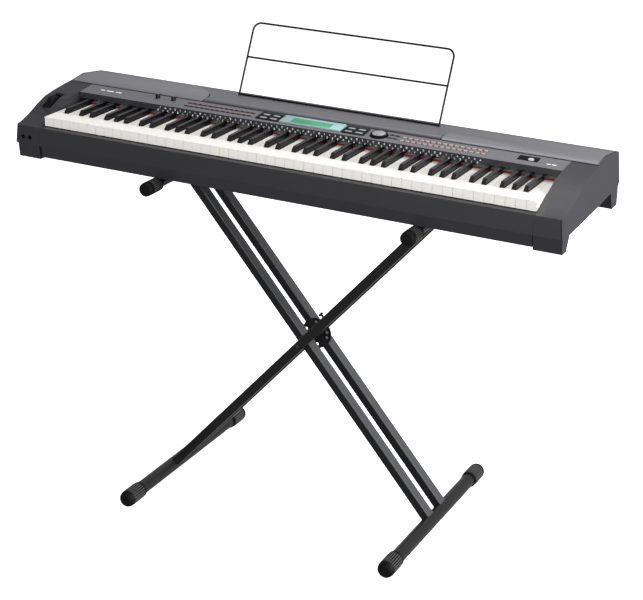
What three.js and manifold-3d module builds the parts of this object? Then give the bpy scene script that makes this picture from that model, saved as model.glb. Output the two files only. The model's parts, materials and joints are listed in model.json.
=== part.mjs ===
// Digital stage piano on a double-braced X stand.
// Millimetres, +Z up, keys towards -Y, origin on the floor below the middle of the whole object.
import * as THREE from "three";
import * as BufferGeometryUtils from "three/addons/utils/BufferGeometryUtils.js";
import Module from "manifold-3d";

const wasm = await Module();
wasm.setup();

const gap = 0.3; // space left between pieces that touch
const wall = 3; // moulded casing thickness

// Keyboard: the piano group's origin is at the front edge of the white keys, on their top.
const keyTop = 892; // height of the white keys above the floor
const keyFront = -142; // front edge of the white keys
const whitePitch = 23.5;
const whiteCount = 52;
const keySlit = 1; // space between two white keys
const whiteThick = 22;
const blackFront = 50; // front edge of the black keys, behind the white ones
const blackHalf = 5.2; // half the width of a black key
const blackHigh = 12; // black key top above the white ones
const blackDeep = 12; // black key body below the white tops
const slotHalf = 6.4; // half the slot that a black key sinks into
const slotEnd = 162;
const keySplit = 165; // the joined combs' spine starts here
const keyEnd = 215;
const shankLow = 5.4; // black key shank, above the felt
const shankHigh = 10;
const blackBodyEnd = 150.6; // the body stops short of the felt
const shankHalf = 4;
const keyNotch = blackFront - 1; // the wide front part of a white key ends here
// black key offsets from the joint between two white keys, counted from C
const blackShift = { 0: -2.55, 1: 2.55, 3: -3.35, 4: 0, 5: 3.35 };
const firstOctaveWhite = 23; // white keys below the octave with single keys
const octaveNames = ["c", "d", "e", "f", "g", "a", "b"];
const sharpNames = { 0: "c_sharp", 1: "d_sharp", 3: "f_sharp", 4: "g_sharp", 5: "a_sharp" };

// Case
const bodyHalf = 680; // half the piano's length
const cheekInner = 613; // inner face of the end cheeks
const caseFloor = -94; // underside, from the white key tops
const panelFront = 150;
const panelLip = 13; // lower edge of the panel's front face
const panelLow = 26.5; // front edge of the sloped panel
const panelBreak = 205; // rear end of the slope
const panelHigh = 33;
const strip = { front: 206.8, rear: 338, shoulder: 221, top: 38, low: 30.6 };
const deckRear = 27; // rear end of the deck that the covers lie on
const crest = { y: 261, z: 41 }; // top of the speaker covers
const coverEnd = { rear: 398, tip: 308 }; // inner ends of the speaker covers
const rearTop = { y: 342, z: 30.4 };
const rearLow = { y: 358, z: -43.5 };
const cheekRim = 7; // width of the raised rim outside a speaker cover
const cheekDraft = THREE.MathUtils.degToRad(2.1); // the end faces lean in towards the top
const beltZ = -66; // crease along the front, where the end faces start to lean
const cornerCut = { size: 2.5, lean: THREE.MathUtils.degToRad(5.3) }; // wider towards the top
const feet = { front: [-16.4, 9], rear: [312, 348], low: -100, rearLow: -94.5 };
const footInset = { left: 7, right: 1.5 }; // front feet, in from the end faces
const jacks = { xs: [-659, -640], z: -50, radius: 5, bore: 3.2 };
const inlet = { x: -300, z: -15, radius: 5, bore: 3 };

// Panel items: x, y on the slope, size across and along it
const knobAt = [[-415, 188], [-372, 189]];
const knobRadius = 6;
const knobHigh = 9;
const dial = { x: 169, y: 179, radius: 19.5, high: 6 };
const power = { x: 530, y: 180, radius: 7, deep: 4, high: 1.8 };
const leftRows = { from: -332, to: -150, at: [169, 187] };
const rightRows = { from: 222, to: 430, at: [169, 187] };
const dialRows = { from: 191, to: 217, at: [173, 190] }; // beside the dial
const rowHalf = 3;
const leftPads = { from: -138, to: -79 };
const rightPads = { from: 81, to: 138 };
const padSpan = { from: 161, to: 201 };
const screenSpan = { from: -76.5, to: 78.5, front: 162, rear: 202, high: 3.5 };
const buttonProud = 1.6;
const shaftRadius = 3; // shafts of the knobs and the dial
const shaftDeep = 8;

// Music rest, of bent wire
const rest = { half: 260.5, wire: 2.5, high: 177.2, middle: 92, bend: 20, plug: 12 };
const restSeat = { y: 309, z: 35.4, lean: 24.8 };

// Pitch wheel
const wheel = { x: -648, half: 7, y: 90, z: -4, radius: 29 };
const well = { across: 12.5, along: 32 }; // opening round the wheel

// Speakers
const speaker = { x: 520, y: 262, radius: 44, magnet: 24, deep: 46 };

// Stand
const standX = 26; // the pivot stands a little off the middle
const standY = 4;
const pivotZ = 410;
const tubeWide = 22; // leg tube, across the leg
const tubeDeep = 30; // leg tube, front to back
const tubeWall = 1.5;
const bracingGap = 6; // between neighbouring leg tubes
const topRadius = 11; // top bars
const footRadius = 16.5; // foot tubes
const footZ = 20; // height of the foot tubes' middle
const topDrop = 110.8; // top bars' middle, below the white key tops
const legSpread = THREE.MathUtils.degToRad(41.1);
const footHalf = 286; // half the length over the foot caps
const footCap = { radius: 20.3, length: 66, end: 3, round: 12 };
const barHalf = 210; // half the length over the top sleeves
const sleeve = { radius: 16.5, length: 58, end: 3 };
const boltRadius = 5;
const collarRadius = 8;
const hexRadius = 9;
const boltHead = 4.5;
const nutHigh = 7;
const plate = { radius: 38, thick: 3, hole: 4, ring: 28, count: 5, step: 27 };
const lockKnob = { along: 56, out: 21.5, stem: 2.6, head: 6, high: 6 };

const upper = (keyTop - topDrop - pivotZ) / Math.cos(legSpread); // pivot to top bar
const lower = (pivotZ - footZ) / Math.cos(legSpread); // pivot to foot tube

const looks = {
  case: { color: 0x3a3a3e, roughness: 0.55, metalness: 0 },
  cover: { color: 0x55565c, roughness: 0.5, metalness: 0 },
  white: { color: 0xf0eee6, roughness: 0.3, metalness: 0 },
  black: { color: 0x111113, roughness: 0.35, metalness: 0 },
  felt: { color: 0x7a1420, roughness: 1, metalness: 0 },
  screen: { color: 0x3fae7c, roughness: 0.2, metalness: 0 },
  button: { color: 0x8c6f70, roughness: 0.6, metalness: 0 },
  steel: { color: 0x1b1b1d, roughness: 0.35, metalness: 0.4 },
  zinc: { color: 0xb0b2b6, roughness: 0.4, metalness: 0.9 },
  rubber: { color: 0x161616, roughness: 0.9, metalness: 0 },
  board: { color: 0x1f6a3c, roughness: 0.6, metalness: 0 },
};

const toSolid = (geometry) => {
  const bare = geometry.clone();
  bare.deleteAttribute("normal");
  bare.deleteAttribute("uv");
  const merged = BufferGeometryUtils.mergeVertices(bare, 1e-4);
  const vertProperties = new Float32Array(merged.attributes.position.array);
  const triVerts = new Uint32Array(merged.index.array);
  return new wasm.Manifold(new wasm.Mesh({ numProp: 3, vertProperties, triVerts }));
};

const toGeometry = (solid) => {
  const mesh = solid.getMesh();
  const geometry = new THREE.BufferGeometry();
  const corners = new Float32Array(mesh.vertProperties);
  geometry.setAttribute("position", new THREE.BufferAttribute(corners, 3));
  geometry.setIndex(new THREE.BufferAttribute(new Uint32Array(mesh.triVerts), 1));
  geometry.computeVertexNormals();
  return geometry;
};

const join = (...parts) => toGeometry(parts.map(toSolid).reduce((sum, part) => sum.add(part)));
const cut = (base, ...tools) =>
  toGeometry(tools.map(toSolid).reduce((left, tool) => left.subtract(tool), toSolid(base)));
const common = (first, second) => toGeometry(toSolid(first).intersect(toSolid(second)));

const outline = (points) => new THREE.Shape(points.map(([a, b]) => new THREE.Vector2(a, b)));

// turns a shape drawn in (a, b) and extruded along c into (x, y, z) = (c, a, b)
const standUp = new THREE.Matrix4().set(0, 0, 1, 0, 1, 0, 0, 0, 0, 1, 0, 0, 0, 0, 0, 1);

// outline of (y, z) points drawn out from x0 to x1
const alongX = (points, x0, x1) => {
  const geometry = new THREE.ExtrudeGeometry(outline(points), { depth: x1 - x0, bevelEnabled: false });
  return geometry.applyMatrix4(standUp).translate(x0, 0, 0);
};

// outline of (x, y) points drawn up from z0 to z1
const alongZ = (points, z0, z1) => {
  const shape = points instanceof THREE.Shape ? points : outline(points);
  const options = { depth: z1 - z0, bevelEnabled: false, curveSegments: 8 };
  return new THREE.ExtrudeGeometry(shape, options).translate(0, 0, z0);
};

const box = (x0, x1, y0, y1, z0, z1) =>
  new THREE.BoxGeometry(x1 - x0, y1 - y0, z1 - z0).translate((x0 + x1) / 2, (y0 + y1) / 2, (z0 + z1) / 2);

const rod = (radius, length, sides) => new THREE.CylinderGeometry(radius, radius, length, sides);

const rodY = (radius, y0, y1, x = 0, z = 0, sides = 24) =>
  rod(radius, y1 - y0, sides).translate(x, (y0 + y1) / 2, z);

const rodZ = (radius, z0, z1, x = 0, y = 0, sides = 24) =>
  rod(radius, z1 - z0, sides).rotateX(Math.PI / 2).translate(x, y, (z0 + z1) / 2);

const rodX = (radius, x0, x1, y, z, sides = 24) =>
  rod(radius, x1 - x0, sides).rotateZ(Math.PI / 2).translate((x0 + x1) / 2, y, z);

// (radius, height) profile turned about the Y axis
const turnedY = (profile, sides = 24) => {
  const points = profile.map(([r, y]) => new THREE.Vector2(r, y));
  return new THREE.LatheGeometry(points, sides);
};

const part = (name, geometry, look) => {
  const mesh = new THREE.Mesh(geometry, new THREE.MeshStandardMaterial(looks[look]));
  mesh.name = name;
  return mesh;
};

const mirrorX = (geometry) => {
  const flipped = geometry.clone().applyMatrix4(new THREE.Matrix4().makeScale(-1, 1, 1));
  const order = flipped.index.array;
  for (let i = 0; i < order.length; i += 3) {
    const kept = order[i];
    order[i] = order[i + 1];
    order[i + 1] = kept;
  }
  return flipped;
};

// ---- keys ----
const keyEdge = (index) => (index - whiteCount / 2) * whitePitch;
const blackAfter = (index) => blackShift[((index - 2) % 7 + 7) % 7]; // key 2 is the first C
const hasBlack = (index) => index >= 0 && index < whiteCount - 1 && blackAfter(index) !== undefined;
const blackCentre = (index) => keyEdge(index + 1) + blackAfter(index);

// plan outline of the white keys first to last; their spine is joined when there are several
const whiteOutline = (first, last) => {
  const left = keyEdge(first) + keySlit / 2;
  const right = keyEdge(last + 1) - keySlit / 2;
  const points = [[left, keyEnd]];
  if (hasBlack(first - 1)) {
    const side = blackCentre(first - 1) + slotHalf;
    points.push([left, slotEnd], [side, slotEnd], [side, keyNotch], [left, keyNotch]);
  }
  points.push([left, 0]);
  for (let key = first; key < last; key += 1) {
    const edge = keyEdge(key + 1);
    points.push([edge - keySlit / 2, 0]);
    if (hasBlack(key)) {
      const middle = blackCentre(key);
      points.push([edge - keySlit / 2, keyNotch], [middle - slotHalf, keyNotch]);
      points.push([middle - slotHalf, slotEnd], [middle + slotHalf, slotEnd]);
      points.push([middle + slotHalf, keyNotch], [edge + keySlit / 2, keyNotch]);
    } else {
      points.push([edge - keySlit / 2, keySplit], [edge + keySlit / 2, keySplit]);
    }
    points.push([edge + keySlit / 2, 0]);
  }
  points.push([right, 0]);
  if (hasBlack(last)) {
    const side = blackCentre(last) - slotHalf;
    points.push([right, keyNotch], [side, keyNotch], [side, slotEnd], [right, slotEnd]);
  }
  points.push([right, keyEnd]);
  return points;
};

const whiteKeys = (name, first, last) =>
  part(name, alongZ(whiteOutline(first, last), -whiteThick, 0), "white");

const blackBody = (index) => {
  const x = blackCentre(index);
  const side = [[blackFront, -blackDeep], [blackFront, blackHigh / 3], [blackFront + 7, blackHigh]];
  side.push([blackBodyEnd, blackHigh], [blackBodyEnd, -blackDeep]);
  return alongX(side, x - blackHalf, x + blackHalf);
};

const blackShank = (index) => {
  const x = blackCentre(index);
  return box(x - shankHalf, x + shankHalf, blackBodyEnd - 2, keyEnd, shankLow, shankHigh);
};

const blackKeys = (name, first, last) => {
  const pieces = [];
  const centres = [];
  for (let key = first; key <= last; key += 1) {
    if (hasBlack(key)) {
      pieces.push(blackBody(key), blackShank(key));
      centres.push(blackCentre(key));
    }
  }
  if (centres.length > 1) {
    const left = centres[0] - shankHalf;
    const right = centres[centres.length - 1] + shankHalf;
    pieces.push(box(left, right, keySplit + 2, keyEnd, shankLow, shankHigh));
  }
  return part(name, join(...pieces), "black");
};

const keyboard = () => {
  const group = new THREE.Group();
  const start = firstOctaveWhite;
  const end = start + 7;
  group.add(whiteKeys("white_keys_low", 0, start - 1));
  group.add(whiteKeys("white_keys_high", end, whiteCount - 1));
  group.add(blackKeys("black_keys_low", 0, start - 1));
  group.add(blackKeys("black_keys_high", end, whiteCount - 1));
  octaveNames.forEach((note, i) => group.add(whiteKeys(`key_${note}`, start + i, start + i)));
  Object.entries(sharpNames).forEach(([i, note]) => {
    group.add(blackKeys(`key_${note}`, start + Number(i), start + Number(i)));
  });
  return group;
};

// ---- panel ----
const slope = Math.atan2(panelHigh - panelLow, panelBreak - panelFront);
const slopeZ = (y) => panelLow + (y - panelFront) * Math.tan(slope);

// a geometry drawn flat about (0, 0, 0), laid on the slope at (x, y)
const onSlope = (geometry, x, y) => geometry.rotateX(slope).translate(x, y, slopeZ(y));

const slopeBox = (x0, x1, y0, y1, z0, z1) => {
  const middle = (y0 + y1) / 2;
  return onSlope(box(x0, x1, y0 - middle, y1 - middle, z0, z1), 0, middle);
};

const rowBlocks = (rows, grow, z0, z1) => {
  const half = rowHalf + grow;
  return rows.at.map((y) => slopeBox(rows.from - grow, rows.to + grow, y - half, y + half, z0, z1));
};

const padBlock = (pads, grow, z0, z1) =>
  slopeBox(pads.from - grow, pads.to + grow, padSpan.from - grow, padSpan.to + grow, z0, z1);

const restAxis = new THREE.Matrix4()
  .makeTranslation(0, restSeat.y, restSeat.z)
  .multiply(new THREE.Matrix4().makeRotationX(-THREE.MathUtils.degToRad(restSeat.lean)));

const restHoles = () => {
  const loose = rest.wire + 2 * gap;
  return [-rest.half, rest.half].map((x) => rodZ(loose, -40, 10, x, 0, 16).applyMatrix4(restAxis));
};

const deckZ = (y) => panelHigh + (y - panelBreak) * (deckRear - panelHigh) / (strip.rear - panelBreak);
const deckFall = Math.atan2(panelHigh - deckRear, strip.rear - panelBreak);

const coverPlan = (reach) => {
  const shape = new THREE.Shape();
  const outer = bodyHalf - cheekRim - gap;
  shape.moveTo(outer, strip.front);
  shape.lineTo(outer, strip.rear);
  shape.lineTo(coverEnd.rear + reach, strip.rear);
  shape.bezierCurveTo(338 + reach, 295, 292 + reach, 250, coverEnd.tip + reach, strip.front);
  shape.closePath();
  return shape;
};

// the raised middle of the panel's rear, between the two speaker covers
const raisedStrip = () => {
  const low = panelHigh - 1; // sunk into the panel
  const section = [[strip.front, low], [strip.front, panelHigh + gap], [strip.shoulder, strip.top]];
  section.push([strip.rear, strip.low], [strip.rear, deckRear - 1]);
  const half = coverEnd.rear + 8;
  const plank = alongX(section, -half, half);
  const right = toGeometry(toSolid(alongZ(coverPlan(-gap), 0, 2 * crest.z)));
  return cut(plank, right, mirrorX(right));
};

const controlPanel = () => {
  const section = [[panelFront, panelLip], [panelFront, panelLow], [panelBreak, panelHigh]];
  section.push([strip.rear, deckRear], [strip.rear, deckRear - wall], [panelBreak, panelHigh - wall]);
  section.push([panelFront + wall, panelLow - wall], [panelFront + wall, panelLip]);
  const shell = alongX(section, -cheekInner + gap, cheekInner - gap);
  const through = [-2 * wall, 2 * wall]; // reaches past both faces of the panel
  const holes = [leftRows, rightRows, dialRows].flatMap((rows) => rowBlocks(rows, gap, ...through));
  holes.push(padBlock(leftPads, gap, ...through), padBlock(rightPads, gap, ...through));
  [...knobAt, [dial.x, dial.y]].forEach(([x, y]) => {
    holes.push(onSlope(rodZ(shaftRadius + gap, -8, 8, 0, 0, 12), x, y));
  });
  holes.push(onSlope(rodZ(power.radius + gap, -8, 8), power.x, power.y));
  [-speaker.x, speaker.x].forEach((x) => {
    holes.push(rodZ(speaker.radius - 4, panelHigh - 9, panelHigh + 9, x, speaker.y));
  });
  return part("control_panel", cut(join(shell, raisedStrip()), ...holes, ...restHoles()), "case");
};

const speakerCover = () => {
  const { front, rear } = strip;
  const section = [[front, deckZ(front) + gap], [front, 34.6], [front + 6, 37], [crest.y, crest.z]];
  section.push([rear, rearTop.z + 0.4], [rear, deckRear + gap]);
  const inside = [[front + 9, 20], [front + 9, 34.5], [crest.y, crest.z - wall]];
  inside.push([rear - 6, rearTop.z - 1.4], [rear - 6, 20]);
  const solid = common(alongX(section, coverEnd.tip - 20, bodyHalf), alongZ(coverPlan(0), 0, 90));
  return cut(solid, alongX(inside, coverEnd.rear + 6, bodyHalf - 12));
};

const screen = () => {
  const { from, to, front, rear, high } = screenSpan;
  return part("display_window", slopeBox(from, to, front, rear, gap, high), "screen");
};

const matTop = -(wall + gap + 1.2); // the mat hangs clear of the panel's underside
const matLow = matTop - 1.6;

const matSheet = (from, to) =>
  slopeBox(from - 2, to + 2, padSpan.from - 2, padSpan.to + 2, matLow, matTop);

const leftMat = () => {
  const base = matSheet(leftRows.from, leftPads.to);
  const blocks = rowBlocks(leftRows, 0, matTop - 1, buttonProud);
  blocks.push(padBlock(leftPads, 0, matTop - 1, buttonProud));
  return part("left_button_mat", join(base, ...blocks), "button");
};

const rightMat = () => {
  const sheets = [matSheet(rightPads.from, rightPads.to), matSheet(dialRows.from, rightRows.to)];
  // a narrow bridge joins the two sheets behind the dial
  const bridge = slopeBox(rightPads.to, dialRows.from, padSpan.to - 8, padSpan.to, matLow, matTop);
  const blocks = [rightRows, dialRows].flatMap((rows) => rowBlocks(rows, 0, matTop - 1, buttonProud));
  blocks.push(padBlock(rightPads, 0, matTop - 1, buttonProud));
  return part("right_button_mat", join(...sheets, bridge, ...blocks), "button");
};

const knob = (name, [x, y], radius, high) => {
  const cap = rodZ(radius, 0.5, high);
  const stem = rodZ(shaftRadius, -shaftDeep, 2, 0, 0, 12);
  return part(name, onSlope(join(cap, stem), x, y), "black");
};

const powerButton = () => {
  const button = rodZ(power.radius, -power.deep, power.high);
  return part("power_button", onSlope(button, power.x, power.y), "black");
};

const panel = () => {
  const group = new THREE.Group();
  const cover = speakerCover();
  group.add(controlPanel(), screen(), leftMat(), rightMat(), powerButton());
  group.add(part("right_speaker_cover", cover, "cover"));
  group.add(part("left_speaker_cover", mirrorX(cover), "cover"));
  group.add(knob("volume_knob", knobAt[0], knobRadius, knobHigh));
  group.add(knob("tone_knob", knobAt[1], knobRadius, knobHigh));
  group.add(knob("data_dial", [dial.x, dial.y], dial.radius, dial.high));
  return group;
};

// ---- case ----
// (y, z) outline of an end cheek: over the top from the front, and back below
const cheekSide = () => {
  const top = [[-20.5, -24.5], [-19, -23.2], [0, -20], [30, -9.5], [65, 7], [98, 19.5]];
  top.push([129, 25], [180, 31.5]);
  const rear = [[rearLow.y, rearLow.z], [348, -51], [300, -53.5], [206, -59.5], [24, beltZ], [-22, beltZ]];
  return { top, rear };
};

const cheekSolid = (inset) => {
  const { top, rear } = cheekSide();
  const lip = strip.rear + gap; // the rear edge rises again behind the cover
  const back = [rearTop.y, rearTop.z];
  const ledge = [[panelBreak, panelHigh], [lip, deckRear], [lip, rearTop.z], back];
  const rim = [[panelBreak, panelHigh + gap], [218, 35], [crest.y, crest.z], back];
  const inner = alongX([...top, ...ledge, ...rear], cheekInner, bodyHalf);
  const outer = alongX([...top, ...rim, ...rear], bodyHalf - cheekRim, bodyHalf);
  const foot = (points, edge) => alongX(points, cheekInner + 1, edge);
  const [frontNear, frontFar] = feet.front;
  const [rearNear, rearFar] = feet.rear;
  const front = [[frontNear, feet.low], [frontFar, feet.low], [26, beltZ + 4], [-21, beltZ + 4]];
  front.push([-21.6, beltZ]);
  const behind = [[rearNear, feet.rearLow], [rearFar, feet.rearLow], [rearFar, -50], [296, -50]];
  return join(inner, outer, foot(front, bodyHalf - inset), foot(behind, bodyHalf));
};

const cheekHollow = () => {
  const roof = [[-17, -61], [-15, -29], [0, -24.5], [31, -14], [66, 2], [98, 14.5], [129, 20], [180, 26.5]];
  const back = [[panelBreak, panelHigh - 4], [331, 23], [350, -40], [335, -45], [275, -47]];
  return alongX([...roof, ...back, [275, -90], [28, -90], [28, -61]], cheekInner + wall, bodyHalf - 8);
};

const cheekTrim = () => {
  const draft = box(0, 40, -60, 400, -160, 120).rotateY(-cheekDraft);
  const corner = box(0, 40, -60, 60, -160, 160).rotateY(-cornerCut.lean).rotateZ(-Math.PI / 4);
  return [draft.translate(bodyHalf, 0, beltZ), corner.translate(bodyHalf - cornerCut.size, -22, beltZ)];
};

const jackHoles = () => jacks.xs.map((x) => rodY(jacks.radius + gap, -40, 6, x, jacks.z, 16));

const cheeks = () => {
  const shell = (inset) => cut(cheekSolid(inset), cheekHollow(), ...cheekTrim());
  const { across, along } = well;
  const slot = box(wheel.x - across, wheel.x + across, wheel.y - along, wheel.y + along, -30, 60);
  const left = cut(mirrorX(shell(footInset.left)), slot, ...jackHoles());
  const right = shell(footInset.right);
  const group = new THREE.Group();
  group.add(part("right_cheek", right, "case"), part("left_cheek", left, "case"));
  return group;
};

const bottomCase = () => {
  const floor = caseFloor + wall;
  const section = [[-12, caseFloor], [331, caseFloor], [331, -47]];
  section.push([328, -47], [328, floor], [-12, floor]);
  return part("bottom_case", alongX(section, -cheekInner + gap, cheekInner - gap), "case");
};

const frontRail = () => {
  const floor = caseFloor + wall;
  const inside = [[-12.3, caseFloor], [-12.3, floor], [-14.5, floor], [-18.8, beltZ], [-17.4, -26]];
  const outside = [[-3, -26], [-3, -23], [-19.5, -23], [-20.5, -24.5], [-22, beltZ], [-17, caseFloor]];
  const rail = alongX([...inside, ...outside], -cheekInner + gap, cheekInner - gap);
  const notch = box(-cheekInner, -cheekInner + 6, -40, -10, -120, beltZ - gap); // beside the left foot
  return part("front_rail", cut(rail, notch), "case");
};

const rearPanel = () => {
  const front = strip.rear + gap;
  const section = [[front, rearTop.z], [rearTop.y, rearTop.z], [rearLow.y, rearLow.z]];
  section.push([331 + gap, -47], [331 + gap, -44], [354.4, -40.9], [front + 1, 26], [front, 26]);
  const shell = alongX(section, -cheekInner + gap, cheekInner - gap);
  const hole = rodY(inlet.radius + gap, 330, 370, inlet.x, inlet.z, 16);
  return part("rear_panel", cut(shell, hole), "case");
};

const inletSocket = () => {
  const { x, z, radius, bore } = inlet;
  const barrel = rodY(radius, 340, 352, x, z, 16);
  const block = box(x - 8, x + 8, 332, 344, z - 8, z + 8);
  return part("power_inlet", cut(join(barrel, block), rodY(bore, 345, 360, x, z, 12)), "black");
};

const keyFrame = () => {
  const channel = [[5, -60], [222, -60], [222, -24.5], [198, -24.5]];
  channel.push([198, -27.5], [219, -27.5], [219, -57], [5, -57]);
  return part("key_frame", alongX(channel, -cheekInner + 4, cheekInner - 4), "zinc");
};

const jackPair = () => {
  const { xs, z, radius, bore } = jacks;
  const barrels = xs.map((x) => rodY(radius, -20.6, -2, x, z, 16));
  const bores = xs.map((x) => rodY(bore, -30, -6, x, z, 12));
  const board = box(xs[0] - 9, xs[1] + 9, -3, -1, z - 8, z + 8);
  return part("headphone_jacks", cut(join(board, ...barrels), ...bores), "black");
};

const loudspeaker = (name, x) => {
  const { radius, magnet, deep } = speaker;
  const cone = [[0, -deep], [magnet, -deep], [magnet, 16 - deep], [radius - 6, -8]];
  cone.push([radius, -4], [radius, 0], [radius - 5, 0], [12, -18], [0, -16]);
  const seat = deckZ(speaker.y) - wall - gap;
  return part(name, turnedY(cone).rotateX(Math.PI / 2 - deckFall).translate(x, speaker.y, seat), "black");
};

const pitchWheel = () => {
  const { x, y, z, half, radius } = wheel;
  return part("pitch_wheel", rodX(radius, x - half, x + half, y, z, 32), "black");
};

const musicRest = () => {
  const { half, wire, high, middle, bend, plug } = rest;
  const path = new THREE.CurvePath();
  const point = (x, z) => new THREE.Vector3(x, 0, z);
  const line = (from, to) => path.add(new THREE.LineCurve3(from, to));
  const corner = (from, peak, to) => path.add(new THREE.QuadraticBezierCurve3(from, peak, to));
  const low = high - bend;
  const inner = half - bend;
  line(point(-half, -plug), point(-half, low));
  corner(point(-half, low), point(-half, high), point(-inner, high));
  line(point(-inner, high), point(inner, high));
  corner(point(inner, high), point(half, high), point(half, low));
  line(point(half, low), point(half, -plug));
  const section = new THREE.Shape();
  section.absarc(0, 0, wire, 0, 2 * Math.PI);
  const bow = new THREE.ExtrudeGeometry(section, { steps: 40, curveSegments: 4, extrudePath: path });
  const bars = [0, middle].map((z) => rodX(wire - 0.1, -half, half, 0, z, 10));
  return part("music_rest", join(bow, ...bars).applyMatrix4(restAxis), "steel");
};

const piano = () => {
  const group = new THREE.Group();
  const half = cheekInner - 2;
  group.add(keyboard(), panel(), cheeks(), bottomCase(), frontRail(), rearPanel(), keyFrame());
  group.add(part("felt_strip", box(-half, half, 151.6, 158, 0.4, 1.9), "felt"));
  group.add(part("main_board", box(-250, 250, 228, 306, 6, 7.6), "board"));
  group.add(inletSocket(), jackPair(), pitchWheel(), musicRest());
  group.add(loudspeaker("left_speaker", -speaker.x), loudspeaker("right_speaker", speaker.x));
  group.position.set(0, keyFront, keyTop);
  return group;
};

// ---- stand ----
const tubeSection = (wide, deep, round) => {
  const x = wide / 2;
  const y = deep / 2;
  const shape = new THREE.Shape();
  shape.moveTo(-x + round, -y);
  shape.lineTo(x - round, -y);
  shape.absarc(x - round, -y + round, round, -Math.PI / 2, 0);
  shape.lineTo(x, y - round);
  shape.absarc(x - round, y - round, round, 0, Math.PI / 2);
  shape.lineTo(-x + round, y);
  shape.absarc(-x + round, y - round, round, Math.PI / 2, Math.PI);
  shape.lineTo(-x, -y + round);
  shape.absarc(-x + round, -y + round, round, Math.PI, 1.5 * Math.PI);
  return shape;
};

const legTube = (y, knobHole) => {
  const shape = tubeSection(tubeWide, tubeDeep, 3);
  shape.holes.push(tubeSection(tubeWide - 2 * tubeWall, tubeDeep - 2 * tubeWall, 1.5));
  const options = { depth: upper + lower, bevelEnabled: false, curveSegments: 2 };
  const blank = new THREE.ExtrudeGeometry(shape, options).translate(0, 0, -lower);
  const ends = [rodY(topRadius + gap, -60, 60, 0, upper), rodY(footRadius + gap, -60, 60, 0, -lower)];
  const tools = [...ends, rodY(boltRadius + gap, -60, 60)];
  if (knobHole) tools.push(rodX(lockKnob.stem + gap, -20, 0, 0, lockKnob.along, 12));
  return cut(blank, ...tools).translate(0, y, 0);
};

const roundTube = (radius, half) => {
  const tube = rodY(radius, -half, half);
  return cut(tube, rodY(radius - tubeWall, -half - 5, half + 5));
};

// closed at +Y, turned about the axis of a tube of that radius, its outer end at y
const capSolid = (tube, y, length, profile) => {
  const inner = tube + gap;
  const end = y - 3;
  return turnedY([[inner, y - length], ...profile, [0, y], [0, end], [inner, end], [inner, y - length]]);
};

const topSleeve = () => {
  const { radius, length } = sleeve;
  const profile = [[radius, barHalf - length], [radius, barHalf - 2], [radius - 2, barHalf]];
  return capSolid(topRadius, barHalf, length, profile);
};

const floorCap = () => {
  const { radius, length, round } = footCap;
  const start = footHalf - length;
  const profile = [[radius - 2, start], [radius, start + 3], [radius, footHalf - round]];
  profile.push([radius - 2, footHalf - 5.5], [radius - 6.5, footHalf - 1.5], [radius - 11, footHalf]);
  const half = box(-30, 30, 0, 400, -footZ, 60); // flat where it stands on the floor
  return common(capSolid(footRadius, footHalf, length, profile), half);
};

const braceY = (slot) => (slot - 1.5) * (tubeDeep + bracingGap); // four tubes side by side, front to back

// side is -1 for the frame whose top leans left, +1 for the other
const legFrame = (letter, side, slots) => {
  const frame = new THREE.Group();
  frame.rotation.y = side * legSpread;
  ["front", "rear"].forEach((place, i) => {
    const knobHole = letter === "b" && place === "rear";
    frame.add(part(`leg_${letter}_${place}`, legTube(braceY(slots[i]), knobHole), "steel"));
  });
  const bar = part(`top_bar_${letter}`, roundTube(topRadius, barHalf - sleeve.end - gap), "steel");
  bar.position.z = upper;
  const low = roundTube(footRadius, footHalf - footCap.end - gap);
  const foot = part(`foot_tube_${letter}`, low, "steel");
  foot.position.z = -lower;
  frame.add(bar, foot);
  return frame;
};

const endCaps = (letter, side) => {
  const group = new THREE.Group();
  ["rear", "front"].forEach((place, i) => {
    const turn = i * Math.PI;
    const top = part(`sleeve_${letter}_${place}`, topSleeve().rotateZ(turn), "rubber");
    top.position.set(side * upper * Math.sin(legSpread), 0, upper * Math.cos(legSpread));
    const low = part(`foot_cap_${letter}_${place}`, floorCap().rotateZ(turn), "rubber");
    low.position.set(-side * lower * Math.sin(legSpread), 0, -lower * Math.cos(legSpread));
    group.add(top, low);
  });
  return group;
};

const pivotBolt = () => {
  const reach = braceY(3) + tubeDeep / 2;
  const head = rodY(hexRadius, -reach - boltHead, -reach - gap, 0, 0, 6);
  const pieces = [rodY(boltRadius, -reach - boltHead / 2, reach + 10), head];
  [0, 1, 2].forEach((slot) => {
    const y = braceY(slot) + tubeDeep / 2;
    pieces.push(rodY(collarRadius, y + gap, y + bracingGap - gap));
  });
  return part("pivot_bolt", join(...pieces), "zinc");
};

const pivotNut = () => {
  const y = braceY(3) + tubeDeep / 2 + gap;
  const hex = rodY(hexRadius, y, y + nutHigh, 0, 0, 6);
  return part("pivot_nut", cut(hex, rodY(boltRadius + gap, y - 5, y + 15)), "zinc");
};

const lockingPlate = () => {
  const y = braceY(3) - tubeDeep / 2 - gap;
  const disc = rodY(plate.radius, y - plate.thick, y, 0, 0, 40);
  const holes = [rodY(collarRadius + 0.6, y - 9, y + 9)];
  [0, Math.PI].forEach((start) => {
    for (let i = 0; i < plate.count; i += 1) {
      const angle = start + THREE.MathUtils.degToRad((i - (plate.count - 1) / 2) * plate.step);
      const x = plate.ring * Math.cos(angle);
      const z = plate.ring * Math.sin(angle);
      holes.push(rodY(plate.hole, y - 9, y + 9, x, z, 12));
    }
  });
  const mesh = part("locking_plate", cut(disc, ...holes), "steel");
  mesh.rotation.y = -legSpread;
  return mesh;
};

const lockPull = () => {
  const { along, out, stem, head, high } = lockKnob;
  const shaft = rodX(stem, -out - 1, tubeWide / 4, braceY(2), along, 12);
  const grip = rodX(head, -out - high, -out, braceY(2), along, 20);
  const mesh = part("lock_knob", join(shaft, grip), "black");
  mesh.rotation.y = legSpread;
  return mesh;
};

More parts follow.
